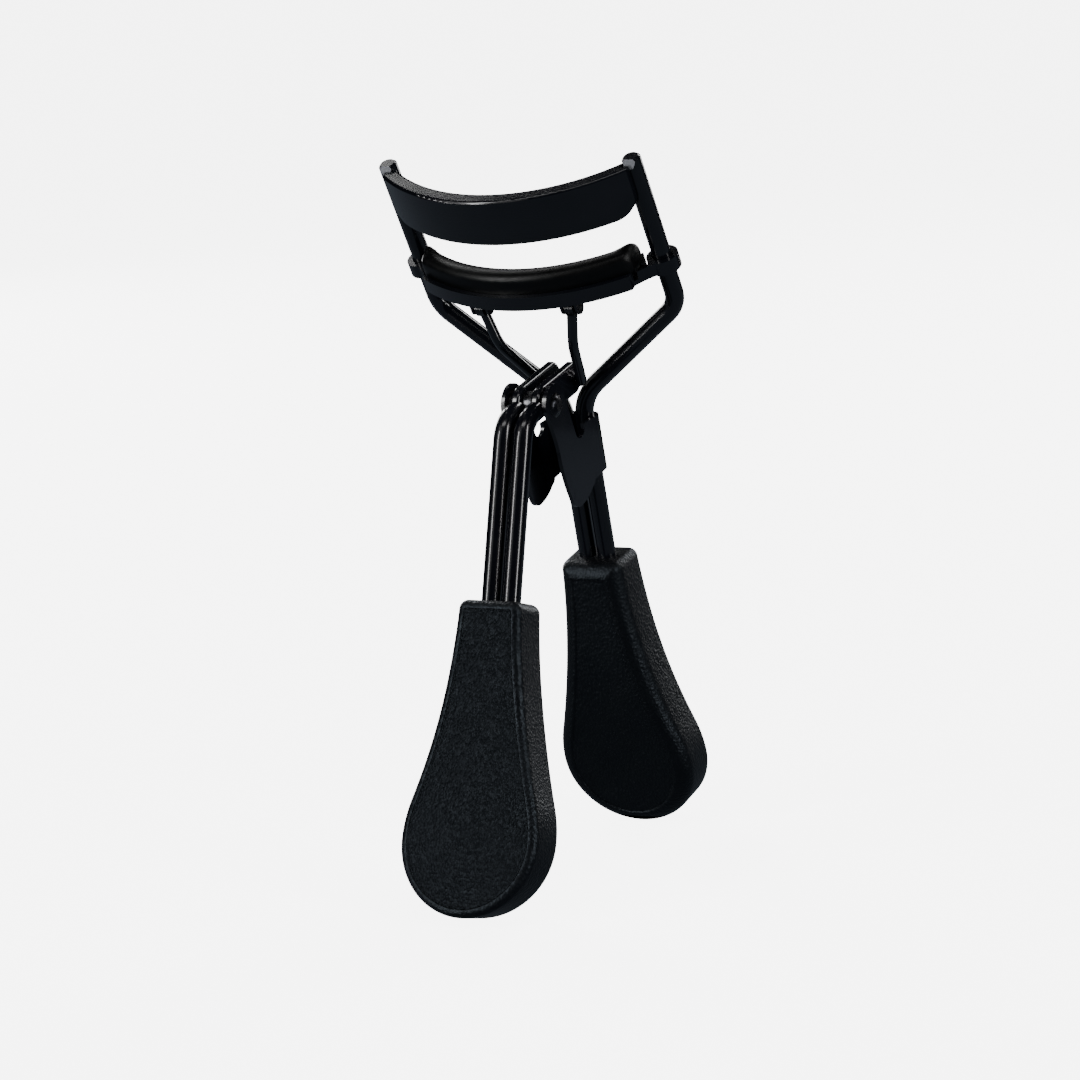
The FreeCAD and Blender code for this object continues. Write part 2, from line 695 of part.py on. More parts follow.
def hinge_pin():
    """The rivet: a shank through both ears with a domed head at each end."""
    body = new_body("hinge_pin", "hinge")
    sketch = new_sketch(body, "pin_half", "XZ_Plane")
    outer = "(Sizes.bracket_inside / 2 + Sizes.bracket_sheet)"
    tip = f"({outer} + Sizes.pin_head)"
    outline(sketch, [
        (f"-{tip}", "0"),
        (tip, "0"),
        (tip, "Sizes.pin_head_diameter / 4", "-Sizes.pin_head_diameter * 0.36"),
        (outer, "Sizes.pin_head_diameter / 2"),
        (outer, "Sizes.pin_diameter / 2"),
        (f"-{outer}", "Sizes.pin_diameter / 2"),
        (f"-{outer}", "Sizes.pin_head_diameter / 2", "-Sizes.pin_head_diameter * 0.36"),
        (f"-{tip}", "Sizes.pin_head_diameter / 4"),
    ])
    turned = body.newObject("PartDesign::Revolution", "pin_turned")
    turned.Profile = sketch
    turned.ReferenceAxis = (sketch, ["H_Axis"])
    turned.Angle = 360
    body.Tip = turned
    return body


def tube(name, outer, start, length):
    """A ring about the hinge axis, from a start along x."""
    parts = []
    for kind, radius in (("outside", outer), ("bore", "(Sizes.pin_diameter + Sizes.running_gap) / 2")):
        cylinder = doc.addObject("Part::Cylinder", f"{name}_{kind}")
        bind(cylinder, Radius=radius, Height=length)
        cylinder.Placement = Placement(Vector(0, 0, 0), Rotation(Vector(0, 1, 0), 90))
        bind(cylinder, Placement__Base__x=start)
        parts.append(cylinder)
    cut = doc.addObject("Part::Cut", name)
    cut.Base, cut.Tool = parts
    return cut


def hinge_washers():
    """The two thin washers between the lever ends and the ears."""
    face = "(Sizes.wire_pitch / 2 + Sizes.lever_thick / 2 + Sizes.running_gap)"
    thick = f"(Sizes.bracket_inside / 2 - Sizes.running_gap / 2 - {face})"
    rings = [
        tube("washer_right", "Sizes.washer_diameter / 2", face, thick),
        tube("washer_left", "Sizes.washer_diameter / 2", f"-{face} - {thick}", thick),
    ]
    group = doc.addObject("Part::Compound", "hinge_washers")
    group.Label = "hinge_washers"
    group.Links = rings
    stand(group, "hinge")
    return group


def hinge_spacer():
    """The short bush on the pin that keeps the two lever ends apart."""
    half = "(Sizes.wire_pitch / 2 - Sizes.lever_thick / 2 - Sizes.running_gap)"
    bush = tube("hinge_spacer", "Sizes.washer_diameter / 2", f"-{half}", f"2 * {half}")
    bush.Label = "hinge_spacer"
    stand(bush, "hinge")
    return bush


# ---------------------------------------------------------------- grips

# how far each handle's wires lie from its frame's origin, their pitch and their diameter
WIRES = {
    "front": ("-Sizes.wire_forward", "Sizes.wire_pitch", "Sizes.wire_diameter"),
    "rear": ("0", "Sizes.rod_pitch", "Sizes.rod_diameter"),
}


def grip_outline(sketch, drop, margin):
    """The paddle seen from its face: narrow neck, flared sides and a round bulb, top at -drop."""
    bulb = f"(Sizes.grip_bulb / 2 - {margin})"
    top = f"(Sizes.grip_top_width / 2 - {margin})"
    inset = f"({top} - Sizes.grip_corner)"
    neck = f"(-({drop}) - {margin})"
    widest = f"(-({drop}) - Sizes.grip_length + Sizes.grip_bulb / 2)"
    shoulder = f"(-({drop}) - Sizes.grip_length * 0.64)"
    outline(sketch, [
        (inset, neck),
        (f"-{inset}", neck, "Sizes.grip_corner"),
        (f"-{top}", f"{neck} - Sizes.grip_corner", "-Sizes.grip_flare"),
        (f"-{bulb} * 0.925", shoulder, "Sizes.grip_shoulder"),
        (f"-{bulb}", widest, bulb),
        ("0", f"{widest} - {bulb}", bulb),
        (bulb, widest, "Sizes.grip_shoulder"),
        (f"{bulb} * 0.925", shoulder, "-Sizes.grip_flare"),
        (top, f"{neck} - Sizes.grip_corner", "Sizes.grip_corner"),
    ])


def bent_layer(sketch, forward, drop, outward, low, high):
    """A layer of the paddle seen from the side, between two distances outward from its middle.
    It is straight at the neck and then curves outward, about one centre for every layer."""
    straight = f"(-({drop}) - Sizes.grip_straight)"
    foot = f"(-({drop}) - Sizes.grip_length - 1)"
    run = "(Sizes.grip_length + 1 - Sizes.grip_straight)"
    centre = f"({forward} + {outward} * Sizes.grip_bend)"

    def radius(layer):
        return f"(Sizes.grip_bend - ({layer}))"

    def at_neck(layer):
        return f"{forward} + {outward} * ({layer})"

    def at_foot(layer):
        return f"{centre} - {outward} * sqrt({radius(layer)} ^ 2 - {run} ^ 2)"

    outline(sketch, [
        (at_neck(high), f"-({drop})"),
        (at_neck(low), f"-({drop})"),
        (at_neck(low), straight, f"{outward} * {radius(low)}"),
        (at_foot(low), foot),
        (at_foot(high), foot, f"{-outward} * {radius(high)}"),
        (at_neck(high), straight),
    ])


def free_sketch(name, rotation):
    """A sketch outside any body, with its own x and y turned into the piece's frame."""
    sketch = doc.addObject("Sketcher::SketchObject", name)
    sketch.Placement = Placement(Vector(0, 0, 0), rotation)
    return sketch


def panel_block(name, forward, drop, outward, margin, low, high):
    """What a paddle outline with a margin and a bent layer have in common."""
    plan = free_sketch(f"{name}_plan", Rotation(Vector(1, 0, 0), 90))
    grip_outline(plan, drop, margin)
    layer = free_sketch(f"{name}_layer", Rotation(Vector(1, 1, 1), 120))
    bent_layer(layer, forward, drop, outward, low, high)
    blocks = []
    for sketch in (plan, layer):
        block = doc.addObject("Part::Extrusion", f"{sketch.Name}_block")
        block.Base = sketch
        block.DirMode = "Normal"
        block.Symmetric = True
        block.Solid = True
        block.setExpression("LengthFwd", "2 * Sizes.grip_length")
        blocks.append(block)
    common = doc.addObject("Part::Common", name)
    common.Base, common.Tool = blocks
    return common


def grip(name, frame, drop, outward):
    """A moulded paddle, curved outward, with a seat in its outer face and bores for the wires."""
    blank = doc.addObject("PartDesign::Body", f"{name}_blank")
    forward, pitch, wire = WIRES[frame]
    side = new_sketch(blank, f"{name}_side", "YZ_Plane")
    bent_layer(side, forward, drop, outward, "-Sizes.grip_thick / 2", "Sizes.grip_thick / 2")
    pad(blank, f"{name}_block", side, "Sizes.grip_bulb + 4", midplane=True)
    trim = new_sketch(blank, f"{name}_trim_plan", "XZ_Plane")
    grip_outline(trim, drop, "0")
    outline(trim, [
        ("-Sizes.grip_bulb", f"-({drop}) + Sizes.grip_bulb"),
        ("-Sizes.grip_bulb", f"-({drop}) - Sizes.grip_length - Sizes.grip_bulb"),
        ("Sizes.grip_bulb", f"-({drop}) - Sizes.grip_length - Sizes.grip_bulb"),
        ("Sizes.grip_bulb", f"-({drop}) + Sizes.grip_bulb"),
    ])
    trimmed = pocket(blank, f"{name}_trim", trim, "4 * Sizes.grip_length", midplane=True)
    round_edges(
        blank, f"{name}_round", trimmed,
        lambda p, e: abs(e.tangentAt((e.FirstParameter + e.LastParameter) / 2).y) < 0.7,
        "Sizes.grip_edge")
    bores = new_sketch(blank, f"{name}_bore_plan", "XY_Plane", f"-({drop}) - Sizes.rod_in_grip")
    for hand in SIDES.values():
        ring(bores, f"{hand} * {pitch} / 2", forward, f"{wire} / 2")
    pocket(blank, f"{name}_bores", bores, "2 * Sizes.rod_in_grip", reverse=True)
    seat = panel_block(f"{name}_seat", forward, drop, outward, "Sizes.cover_margin",
                       "Sizes.grip_thick / 2 - Sizes.cover_sunk", "Sizes.grip_thick")
    shell = doc.addObject("Part::Cut", name)
    shell.Base = blank
    shell.Tool = seat
    stand(shell, frame)
    return shell


def grip_cover(name, frame, drop, outward):
    """The soft textured panel that fills the seat in a grip's outer face."""
    floor = "Sizes.grip_thick / 2 - Sizes.cover_sunk"
    panel = panel_block(name, WIRES[frame][0], drop, outward,
                        "(Sizes.cover_margin + Sizes.cover_gap)", floor,
                        f"{floor} + Sizes.cover_thick")
    panel.Label = name
    stand(panel, frame)
    return panel


# ---------------------------------------------------------------- the whole object

pieces = [upper_bar(), lower_jaw(), curling_pad(), push_rod_pins()]
for side, hand in SIDES.items():
    pieces += [frame_rod(side, hand), jaw_lug(side, hand), push_rod(side, hand),
               handle_rod(side, hand)]
pieces += [hinge_bracket(), hinge_pin(), hinge_washers(), hinge_spacer()]
pieces += [
    grip("front_grip", "front", "Sizes.front_grip_start", -1),
    grip_cover("front_grip_cover", "front", "Sizes.front_grip_start", -1),
    grip("rear_grip", "rear", "Sizes.grip_start", 1),
    grip_cover("rear_grip_cover", "rear", "Sizes.grip_start", 1),
]
doc.recompute()

for item in doc.Objects:
    if "Invalid" in item.State or "Error" in item.State:
        raise RuntimeError(f"{item.Label} failed: {item.State}")
os.makedirs("parts", exist_ok=True)
whole = FreeCAD.BoundBox()
for piece in pieces:
    shape = piece.Shape
    if shape.isNull() or not shape.isValid():
        raise RuntimeError(f"{piece.Label} has no valid shape")
    whole.add(shape.BoundBox)
    shape.exportStep(f"parts/{piece.Label}.step")
    print(f"{piece.Label}: {shape.Volume:.1f} mm3, {len(shape.Solids)} solids")
print("box", [round(value, 3) for value in (whole.XMin, whole.YMin, whole.ZMin,
                                            whole.XMax, whole.YMax, whole.ZMax)])
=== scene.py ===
import json
import math

import bmesh
import bpy
from mathutils import Matrix, Vector


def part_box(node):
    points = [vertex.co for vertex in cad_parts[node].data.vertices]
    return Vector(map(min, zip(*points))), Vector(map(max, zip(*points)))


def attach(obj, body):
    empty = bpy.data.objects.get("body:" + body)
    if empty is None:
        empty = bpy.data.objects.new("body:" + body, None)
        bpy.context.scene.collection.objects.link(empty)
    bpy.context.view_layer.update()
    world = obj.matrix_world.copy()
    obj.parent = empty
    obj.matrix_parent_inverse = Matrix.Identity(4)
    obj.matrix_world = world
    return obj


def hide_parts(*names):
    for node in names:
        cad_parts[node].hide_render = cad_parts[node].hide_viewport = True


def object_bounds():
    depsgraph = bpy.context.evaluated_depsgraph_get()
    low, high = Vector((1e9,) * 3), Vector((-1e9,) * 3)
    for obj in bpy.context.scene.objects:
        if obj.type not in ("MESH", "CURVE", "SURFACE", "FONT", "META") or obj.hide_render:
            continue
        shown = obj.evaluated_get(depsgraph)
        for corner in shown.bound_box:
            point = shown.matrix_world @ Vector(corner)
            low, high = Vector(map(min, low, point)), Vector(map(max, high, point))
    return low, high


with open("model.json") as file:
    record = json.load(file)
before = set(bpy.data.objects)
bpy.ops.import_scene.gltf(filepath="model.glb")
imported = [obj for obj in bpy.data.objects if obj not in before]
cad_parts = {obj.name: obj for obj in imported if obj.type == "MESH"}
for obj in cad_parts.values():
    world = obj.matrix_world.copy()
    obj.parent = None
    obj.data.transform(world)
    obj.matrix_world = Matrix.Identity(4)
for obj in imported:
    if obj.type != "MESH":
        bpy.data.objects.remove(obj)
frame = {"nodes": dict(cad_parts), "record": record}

CAD_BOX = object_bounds()
LOW, HIGH = (Vector(corner) for corner in CAD_BOX)
MIDDLE = (LOW + HIGH) / 2
MM = 0.001

# ---------------------------------------------------------------- the object's own directions

# The head frame stands between the side rods' upper bends, with +z along the rods.
HEAD_LEAN = math.radians(29.3)
HEAD_ORIGIN = Vector((0, 7.84, 75.94)) * MM
# How far each grip is turned about X from the vertical.
REAR_TILT = math.radians(11.9)
FRONT_TILT = math.radians(-16.3)

# ---------------------------------------------------------------- camera, lights and floor

# Azimuths run from -Y towards +X.
VIEW_AZIMUTH = math.radians(28.58)
VIEW_ELEVATION = math.radians(10.43)
VIEW_ROLL = math.radians(-3.65)
VIEW_DISTANCE = 0.4269
VIEW_AIM = Vector((0, -0.00096, 0.04538))
LENS_MM = 106.7
SENSOR_MM = 36
NEAREST = 0.01
FLOOR_RADIUS = 80.0
FLOOR_SIDES = 96
FLOOR_GLOW = 6.0
FLOOR_COLOUR = (0.9, 0.9, 0.9, 1)
WHITE = (1, 1, 1, 1)
WORLD_WHITE = 7.0
BOUNCE_SIZE = 0.7
BOUNCE_WATTS = 0.22
BOUNCE_HEIGHT = 1 * MM
BOUNCE_COLOUR = (0.72, 0.84, 1.0)


def outward(azimuth, elevation):
    """The unit direction from the object at an azimuth and an elevation."""
    return Vector((
        math.sin(azimuth) * math.cos(elevation),
        -math.cos(azimuth) * math.cos(elevation),
        math.sin(elevation),
    ))


def linked_object(name, data):
    """An object in the scene that carries the data."""
    item = bpy.data.objects.new(name, data)
    bpy.context.scene.collection.objects.link(item)
    return item


def add_camera():
    """A long lens in front of the object, on its +X side and a little above."""
    data = bpy.data.cameras.new("camera")
    data.lens = LENS_MM
    data.sensor_width = SENSOR_MM
    data.clip_start = NEAREST
    camera = linked_object("camera", data)
    forward = -outward(VIEW_AZIMUTH, VIEW_ELEVATION)
    turn = forward.to_track_quat("-Z", "Y").to_matrix() @ Matrix.Rotation(VIEW_ROLL, 3, "Z")
    camera.matrix_world = Matrix.Translation(VIEW_AIM - forward * VIEW_DISTANCE) @ turn.to_4x4()
    bpy.context.scene.camera = camera


def area_light(name, azimuth, elevation, distance, size, watts):
    """A soft box that faces the object: angles in degrees, distance and size in metres."""
    data = bpy.data.lights.new(name, "AREA")
    data.shape = "RECTANGLE"
    data.size, data.size_y = size
    data.energy = watts
    light = linked_object(name, data)
    direction = outward(math.radians(azimuth), math.radians(elevation))
    light.location = MIDDLE + direction * distance
    light.rotation_euler = (MIDDLE - light.location).to_track_quat("-Z", "Y").to_euler()


def add_bounce():
    """What a white table sends back up into the gloss: a faint light at the floor's level."""
    data = bpy.data.lights.new("bounce", "AREA")
    data.shape = "SQUARE"
    data.size = BOUNCE_SIZE
    data.energy = BOUNCE_WATTS
    data.color = BOUNCE_COLOUR
    light = linked_object("bounce", data)
    light.location = (0, 0, LOW.z + BOUNCE_HEIGHT)
    light.rotation_euler = (math.pi, 0, 0)
    light.visible_camera = False


def add_studio():
    """Tall soft boxes for the long stripes on the wires, wide dim ones, and a white room that
    only the camera sees."""
    area_light("strip_left", -34, 12, 0.9, (0.10, 0.9), 5)
    area_light("strip_right", 77, 14, 0.9, (0.12, 0.9), 5)
    area_light("overhead", 10, 62, 0.9, (0.55, 0.16), 1.0)
    area_light("soft_front", -30, 22, 1.2, (1.0, 1.3), 2.2)
    add_bounce()
    area_light("back_left", 235, 25, 0.9, (0.15, 0.8), 4)
    area_light("back_right", 165, 25, 0.9, (0.15, 0.8), 4)
    world = bpy.data.worlds.new("studio")
    bpy.context.scene.world = world
    world.use_nodes = True
    background = world.node_tree.nodes["Background"]
    background.inputs["Color"].default_value = WHITE
    background.inputs["Strength"].default_value = WORLD_WHITE
    world.cycles_visibility.glossy = False
    world.cycles_visibility.diffuse = False


def add_floor():
    """A wide white floor. It neither lights the object nor shows in its gloss."""
    material = bpy.data.materials.new("floor_white")
    material.use_nodes = True
    shader = material.node_tree.nodes["Principled BSDF"]
    shader.inputs["Base Color"].default_value = FLOOR_COLOUR
    shader.inputs["Roughness"].default_value = 1
    shader.inputs["Specular IOR Level"].default_value = 0
    shader.inputs["Emission Color"].default_value = WHITE
    shader.inputs["Emission Strength"].default_value = FLOOR_GLOW
    bpy.ops.mesh.primitive_circle_add(
        vertices=FLOOR_SIDES, radius=FLOOR_RADIUS, fill_type="NGON", location=(0, 0, LOW.z))
    floor = bpy.context.object
    floor.name = "floor"
    floor.data.materials.append(material)
    floor.visible_glossy = False
    floor.visible_diffuse = False


# ---------------------------------------------------------------- shader helpers

def shader_tree(name):
    """A new material with its tree, its principled shader and the object's coordinates."""
    material = bpy.data.materials.new(name)
    material.use_nodes = True
    tree = material.node_tree
    shader = tree.nodes["Principled BSDF"]
    coordinates = tree.nodes.new("ShaderNodeTexCoord")
    return material, tree, shader, coordinates.outputs["Object"]


def noise(tree, where, grain, detail=4.0, roughness=0.55):
    """Noise whose features are about one grain across, in metres."""
    node = tree.nodes.new("ShaderNodeTexNoise")
    node.inputs["Scale"].default_value = 1 / grain
    node.inputs["Detail"].default_value = detail
    node.inputs["Roughness"].default_value = roughness
    tree.links.new(where, node.inputs["Vector"])
    return node.outputs["Fac"]


def spread(tree, value, low, high, start=0.3, end=0.7):
    """The stretch from start to end of a value, spread over low to high."""
    node = tree.nodes.new("ShaderNodeMapRange")
    node.inputs["From Min"].default_value = start
    node.inputs["From Max"].default_value = end
    node.inputs["To Min"].default_value = low
    node.inputs["To Max"].default_value = high
    tree.links.new(value, node.inputs["Value"])
    return node.outputs["Result"]


def product(tree, first, second):
    """Two values multiplied."""
    node = tree.nodes.new("ShaderNodeMath")
    node.operation = "MULTIPLY"
    tree.links.new(first, node.inputs[0])
    tree.links.new(second, node.inputs[1])
    return node.outputs[0]


def colour_mix(tree, factor, second):
    """A mix node that goes to the second colour with the factor."""
    node = tree.nodes.new("ShaderNodeMix")
    node.data_type = "RGBA"
    node.inputs["B"].default_value = (*second, 1)
    tree.links.new(factor, node.inputs["Factor"])
    return node


def mixed(tree, factor, first, second):
    """A colour that goes from the first to the second with the factor."""
    node = colour_mix(tree, factor, second)
    node.inputs["A"].default_value = (*first, 1)
    return node.outputs["Result"]


def laid_over(tree, factor, under, colour):
    """A plain colour laid over a varying one where the factor is 1."""
    node = colour_mix(tree, factor, colour)
    tree.links.new(under, node.inputs["A"])
    return node.outputs["Result"]


def bump(tree, shader, layers):
    """Chain bumps of (height, depth in metres, strength) into the shader's normal."""
    previous = None
    for height, depth, strength in layers:
        node = tree.nodes.new("ShaderNodeBump")
        node.inputs["Distance"].default_value = depth
        node.inputs["Strength"].default_value = strength
        tree.links.new(height, node.inputs["Height"])
        if previous is not None:
            tree.links.new(previous, node.inputs["Normal"])
        previous = node.outputs["Normal"]
    tree.links.new(previous, shader.inputs["Normal"])


# ---------------------------------------------------------------- materials

WORN_POINTINESS = (0.52, 0.60)
WORN_PATCHES = (0.45, 0.62)
WEAR_GRAIN = 0.9 * MM
# The facets on the side rods' tips: their depth and height give their slant, and they lie
# within the zone below the top.
FACET_DEPTH = 0.5
FACET_DROP = 1.4
FACET_ZONE = 2.1 * MM
FACET_FADE = 0.1 * MM
FACET_FACING = (0.984, 0.988)
# A light grey for the side rods' tip facets: exposed metal, and also a painted reflection that
# the facets show.
EXPOSED_METAL_AND_GLINT = (0.34, 0.35, 0.38)


def edge_wear(tree, where, amount):
    """Where convex edges have rubbed, broken up by noise: 0 on faces, up to amount on edges."""
    geometry = tree.nodes.new("ShaderNodeNewGeometry")
    sharp = spread(tree, geometry.outputs["Pointiness"], 0, 1, *WORN_POINTINESS)
    patches = spread(tree, noise(tree, where, WEAR_GRAIN), 0, 1, *WORN_PATCHES)
    return spread(tree, product(tree, sharp, patches), 0, amount, 0, 1)


def exposed_and_glinting_facets(tree):
    """1 on the small facets cut into the side rods' tips, else 0. These facets are painted
    light grey, both as exposed metal and as a painted reflection.
    """
    lean = HEAD_LEAN - math.atan(FACET_DEPTH / FACET_DROP)
    geometry = tree.nodes.new("ShaderNodeNewGeometry")
    facing = tree.nodes.new("ShaderNodeVectorMath")
    facing.operation = "DOT_PRODUCT"
    facing.inputs[1].default_value = (0, -math.cos(lean), -math.sin(lean))
    tree.links.new(geometry.outputs["True Normal"], facing.inputs[0])
    split = tree.nodes.new("ShaderNodeSeparateXYZ")
    tree.links.new(geometry.outputs["Position"], split.inputs[0])
    top = HIGH.z - FACET_ZONE
    high = spread(tree, split.outputs["Z"], 0, 1, top - FACET_FADE, top)
    return product(tree, spread(tree, facing.outputs["Value"], 0, 1, *FACET_FACING), high)


def enamel(name, tips=False):
    """Glossy blue-black enamel over metal, slightly uneven in sheen and skin."""
    material, tree, shader, where = shader_tree(name)
    cloudy = noise(tree, where, 6 * MM)
    colour = mixed(tree, spread(tree, cloudy, 0, 1), (0.0032, 0.0038, 0.0062),
                   (0.0048, 0.0055, 0.0085))
    # On the tips' facets, a light grey of exposed metal that also stands in as a painted
    # reflection.
    if tips:
        brushed = spread(tree, noise(tree, where, 0.15 * MM), 0.7, 1.0)
        exposed_and_glint = product(tree, exposed_and_glinting_facets(tree), brushed)
        colour = laid_over(tree, exposed_and_glint, colour, EXPOSED_METAL_AND_GLINT)
    tree.links.new(colour, shader.inputs["Base Color"])
    tree.links.new(spread(tree, cloudy, 0.16, 0.23), shader.inputs["Roughness"])
    shader.inputs["Specular IOR Level"].default_value = 0.45
    shader.inputs["Coat Weight"].default_value = 0.35
    shader.inputs["Coat Roughness"].default_value = 0.05
    peel = noise(tree, where, 1.6 * MM, 2.0)
    bump(tree, shader, [(peel, 0.02 * MM, 0.04)])
    return material


def dark_steel():
    """Blackened steel of the small turned pieces, rubbed bright on its edges."""
    material, tree, shader, where = shader_tree("dark_steel")
    worn = edge_wear(tree, where, 0.8)
    tree.links.new(mixed(tree, worn, (0.022, 0.023, 0.027), (0.16, 0.16, 0.17)),
                   shader.inputs["Base Color"])
    shader.inputs["Metallic"].default_value = 0.9
    tree.links.new(spread(tree, noise(tree, where, 0.5 * MM), 0.22, 0.36),
                   shader.inputs["Roughness"])
    fine = noise(tree, where, 0.12 * MM, 2.0)
    bump(tree, shader, [(fine, 0.01 * MM, 0.15)])
    return material


def rubber():
    """Dense black rubber with a faint bloom."""
    material, tree, shader, where = shader_tree("black_rubber")
    bloom = spread(tree, noise(tree, where, 2.5 * MM), 0, 1)
    tree.links.new(mixed(tree, bloom, (0.0008, 0.0008, 0.0010), (0.0016, 0.0016, 0.0020)),
                   shader.inputs["Base Color"])
    tree.links.new(spread(tree, noise(tree, where, 1.2 * MM), 0.34, 0.46),
                   shader.inputs["Roughness"])
    shader.inputs["Specular IOR Level"].default_value = 0.25
    skin = noise(tree, where, 0.16 * MM, 3.0)
    bump(tree, shader, [(skin, 0.015 * MM, 0.3)])
    return material


def grained_plastic(name, colours, roughness, grain, depth):
    """Moulded plastic with a spark-eroded grain: tiny rounded pits over a softer ripple."""
    material, tree, shader, where = shader_tree(name)
    speckle = noise(tree, where, grain, 3.0, 0.7)
    clouds = noise(tree, where, 5 * MM)
    tone = product(tree, spread(tree, speckle, 0, 1, 0.45, 0.75),
                   spread(tree, clouds, 0.6, 1.0))
    tree.links.new(mixed(tree, tone, *colours), shader.inputs["Base Color"])
    tree.links.new(spread(tree, clouds, *roughness), shader.inputs["Roughness"])
    shader.inputs["Specular IOR Level"].default_value = 0.28
    shader.inputs["Specular Tint"].default_value = (0.72, 0.86, 1.0, 1)
    pits = tree.nodes.new("ShaderNodeTexVoronoi")
    pits.inputs["Scale"].default_value = 1 / grain
    tree.links.new(where, pits.inputs["Vector"])
    ripple = noise(tree, where, 3 * grain, 2.0)
    bump(tree, shader, [(pits.outputs["Distance"], depth, 0.8), (ripple, depth, 0.12)])
    return material


# ---------------------------------------------------------------- mesh helpers

def add_piece(name, points, faces, material):
    """A smooth-shaded mesh object from points in metres, its faces turned outward."""
    mesh = bpy.data.meshes.new(name)
    mesh.from_pydata([tuple(point) for point in points], [], faces)
    shape = bmesh.new()
    shape.from_mesh(mesh)
    bmesh.ops.recalc_face_normals(shape, faces=shape.faces)
    shape.to_mesh(mesh)
    shape.free()
    mesh.validate()
    mesh.update()
    mesh.materials.append(material)
    for face in mesh.polygons:
        face.use_smooth = True
    return linked_object(name, mesh)


def tilted(points, angle):
    """Points of a leaning frame in millimetres, turned about X into row axes in metres."""
    turn = Matrix.Rotation(angle, 3, "X")
    return [turn @ Vector(point) * MM for point in points]


def fit_to_box(points, node):
    """The scale and shift, axis by axis, that bring points inside the CAD node's box."""
    low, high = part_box(node)
    fit = []
    for axis in range(3):
        least = min(point[axis] for point in points)
        most = max(point[axis] for point in points)
        scale = min(1, (high[axis] - low[axis]) / (most - least))
        fit.append((scale, (low[axis] + high[axis]) / 2 - scale * (least + most) / 2))
    return fit


def fitted(points, fit):
    """Points scaled and shifted axis by axis."""
    return [Vector(scale * value + shift for value, (scale, shift) in zip(point, fit))
            for point in points]


def strip(first, second):
    """Quads between two closed rings of the same number of points, given as index lists."""
    count = len(first)
    return [(first[i], first[(i + 1) % count], second[(i + 1) % count], second[i])
            for i in range(count)]


# ---------------------------------------------------------------- grips, in millimetres

GRIP_LENGTH = 41.4
HALF_THICK = 3.9
NECK_HALF = 4.55
BULB = 10.0
CORNER = 1.3
SMALLEST_CORNER = 0.3
# The outline's hollow flare and the shoulder under it, as radii, and where they meet.
FLARE = 104.0
SHOULDER = 16.8
SHOULDER_AT = 0.64
SHOULDER_HALF = 0.925
# The share of the side's points that lies above the shoulder, and above the widest place.
ABOVE_SHOULDER = 0.55
ABOVE_WIDEST = 0.68
# The outline's direction is taken over this share to each side.
SIDE_STEP = 0.002
STRAIGHT = 10.0
BEND = 170.0
INNER_EDGE = 2.3
OUTER_EDGE = 1.1
EDGE_STEPS = 9
INNER_HOLLOW = 0.35
SEAM = 1.15
SEAM_GAP = 0.03
SEAT_LIP = 0.02
SEAT_DEPTH = 0.9
PANEL_DEPTH = 0.85
# The panel's rounded rim: the margin inside the seam and the depth below the face.
PANEL_RIM = ((0, 0.09), (0.06, 0.04), (0.2, 0.03))
PANEL_DISH = 0.75
# The dish takes its width from the side's point at this share of the way down, up to an end.
DISH_SHARE = 0.86
DISH_SHARE_END = 0.8
DISH_WIDTH = 0.9
DISH_TOP_RUN = 8
DISH_END_RUN = 6
DISH_SHALLOW = 0.45
DISH_THUMB = 0.75
THUMB_AT = 30
THUMB_SPREAD = 8
SIDE_ROWS = 90
CORNER_ROWS = 7
COLUMNS = 40


def arc_point(start, end, radius, share):
    """A point of the arc between two points: a positive radius bulges to the right."""
    half = (end - start) / 2
    depth = math.sqrt(radius ** 2 - half.length ** 2)
    left = Vector((-half.y, half.x)).normalized() * math.copysign(depth, radius)
    centre = start + half + left
    begin, finish = start - centre, end - centre
    turn = Matrix.Rotation(-begin.angle_signed(finish) * share, 2)
    return centre + turn @ begin


def side_of_paddle(share):
    """A point of the paddle's right side, from its sharp top corner to the bulb's bottom.
    x is across and y down from the top."""
    shoulder = Vector((BULB * SHOULDER_HALF, GRIP_LENGTH * SHOULDER_AT))
    widest = Vector((BULB, GRIP_LENGTH - BULB))
    bottom = Vector((0, GRIP_LENGTH))
    runs = [
        (Vector((NECK_HALF, 0)), shoulder, -FLARE, ABOVE_SHOULDER),
        (shoulder, widest, SHOULDER, ABOVE_WIDEST),
        (widest, bottom, BULB, 1.0),
    ]
    begin = 0
    for start, end, radius, until in runs:
        if share <= until:
            return arc_point(start, end, radius, (share - begin) / (until - begin))
        begin = until
    return bottom


def paddle_rows(margin):
    """Half widths and distances down of the paddle's rows, inset by a margin."""
    corner = max(CORNER - margin, SMALLEST_CORNER)
    first = (margin + corner) / GRIP_LENGTH * ABOVE_SHOULDER / SHOULDER_AT
    neck = side_of_paddle(first).x - margin
    rows = []
    for step in range(CORNER_ROWS):
        angle = math.pi / 2 * step / CORNER_ROWS
        rows.append((neck - corner * (1 - math.sin(angle)),
                     margin + corner * (1 - math.cos(angle))))
    for step in range(SIDE_ROWS + 1):
        share = first + (1 - first) * step / SIDE_ROWS
        before = side_of_paddle(max(share - SIDE_STEP, 0))
        after = side_of_paddle(min(share + SIDE_STEP, 1))
        along = (after - before).normalized()
        inward = Vector((-along.y, along.x))
        if step == SIDE_ROWS:
            inward = Vector((0, -1))
        place = side_of_paddle(share) + inward * margin
        rows.append((max(place.x, 0), place.y))
    return rows


def dish(across, down, depth):
    """How far a face is scooped: along its middle, and deeper under the thumb."""
    half = side_of_paddle(min(down / GRIP_LENGTH * DISH_SHARE, DISH_SHARE_END)).x
    middle = max(0.0, 1 - (across / (half * DISH_WIDTH)) ** 2)
    ends = min(1.0, down / DISH_TOP_RUN) * min(1.0, (GRIP_LENGTH - down) / DISH_END_RUN)
    thumb = math.exp(-((down - THUMB_AT) / THUMB_SPREAD) ** 2)
    return depth * middle * max(ends, 0) * (DISH_SHALLOW + DISH_THUMB * thumb)


